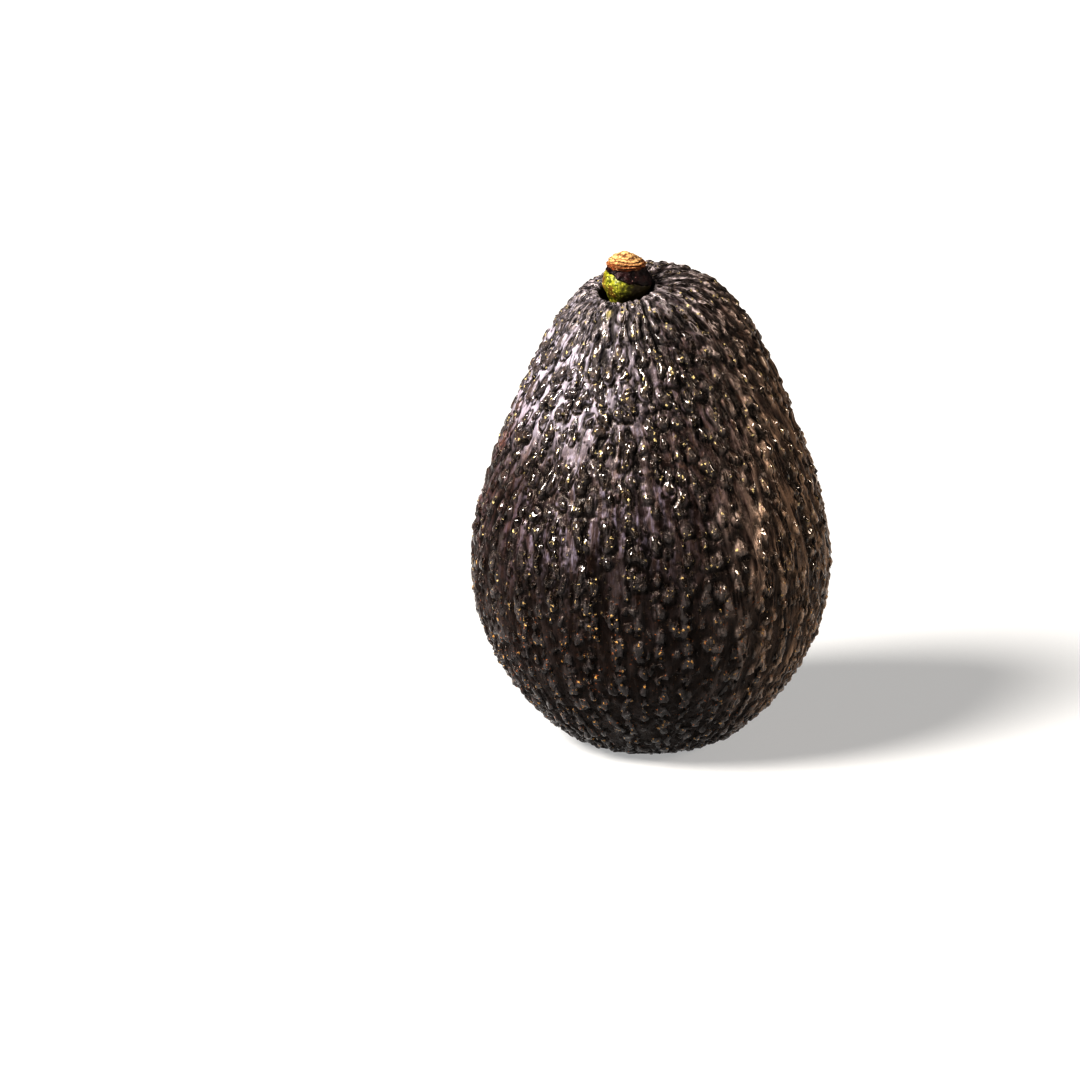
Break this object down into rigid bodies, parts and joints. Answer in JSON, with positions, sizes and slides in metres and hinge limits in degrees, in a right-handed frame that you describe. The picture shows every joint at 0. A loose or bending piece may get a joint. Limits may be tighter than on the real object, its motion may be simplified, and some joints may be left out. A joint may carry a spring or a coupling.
{
  "type": "avocado",
  "caption": "Whole ripe avocado with dark pebbled skin, standing on a small flat spot, with a stub of stalk in a socket at its narrow end.",
  "frame": {"origin": "middle of the flat spot that the fruit rests on", "axes": "+Z from the blunt resting end to the narrow stem end; -Y towards the side that the stem leans to and the picture shows"},
  "size_m": [0.0737, 0.0738, 0.1022],
  "materials": {
    "pebbled_skin": "dark pebbled skin, waxy sheen between glossy warts",
    "green_stalk": "moist yellow-green stalk",
    "dry_cork": "dry matt cork"
  },
  "bodies": {
    "root": {"fruit": "pebbled_skin", "stem_base": "green_stalk", "stem_cap": "dry_cork"}
  },
  "joints": []
}
